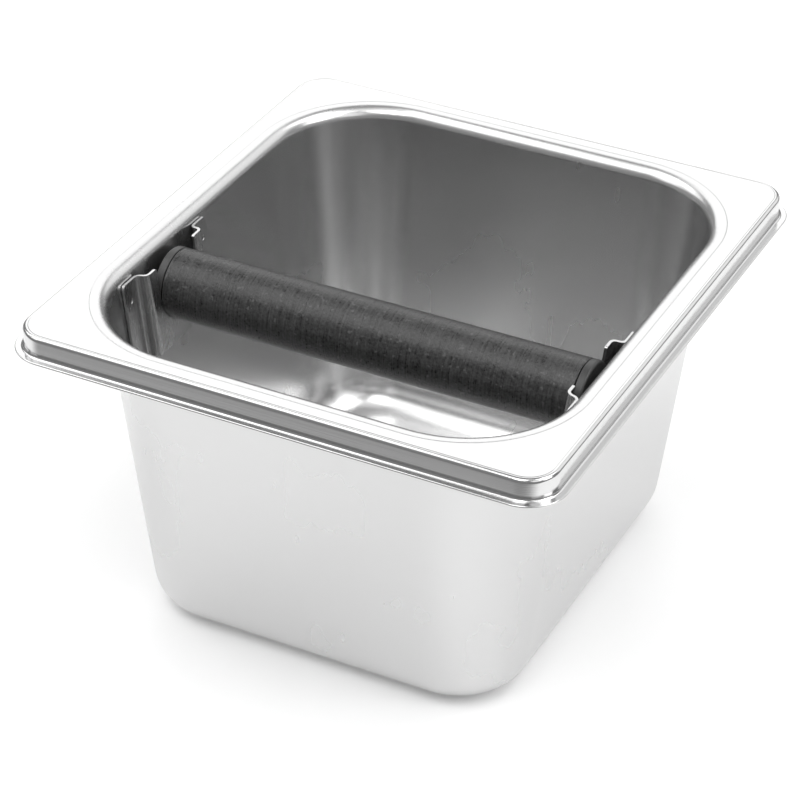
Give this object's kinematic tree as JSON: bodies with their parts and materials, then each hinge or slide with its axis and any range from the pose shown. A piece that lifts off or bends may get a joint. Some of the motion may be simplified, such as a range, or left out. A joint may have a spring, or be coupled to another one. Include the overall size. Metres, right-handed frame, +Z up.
{
  "type": "espresso knock box",
  "caption": "Sixth-size steel counter pan with a flanged rim and a rubber-sleeved knock bar that lifts out of two slotted wall brackets.",
  "frame": {"origin": "middle of the pan's flat underside, on the surface it stands on", "axes": "+Z up, X along the knock bar, +Y across the bar towards the open end of the pan, away from the bar"},
  "size_m": [0.162, 0.176, 0.1],
  "materials": {
    "pan_steel": "satin rolled stainless steel, lightly polished on the rim",
    "bracket_steel": "cold-rolled stainless strip with bright cut edges",
    "sleeve_rubber": "black rubber, finely turned, satin",
    "cap_plastic": "black moulded nylon, satin",
    "core_steel": "drawn steel rod",
    "screw_steel": "stainless machine screw"
  },
  "bodies": {
    "pan": {"pan": "pan_steel", "left_bracket": "bracket_steel", "right_bracket": "bracket_steel"},
    "bar": {"core_rod": "core_steel", "left_end_cap": "cap_plastic", "right_end_cap": "cap_plastic", "left_end_screw": "screw_steel", "right_end_screw": "screw_steel"},
    "sleeve": {"rubber_sleeve": "sleeve_rubber"}
  },
  "joints": [
    {"name": "bar_lift", "type": "slide", "parent": "pan", "child": "bar", "axis": [0, 0, 1], "range_m": [0, 0.05]},
    {"name": "sleeve_turn", "type": "hinge", "parent": "bar", "child": "sleeve", "pos_m": [0, -0.0243, 0.0869], "axis": [1, 0, 0], "continuous": true}
  ]
}
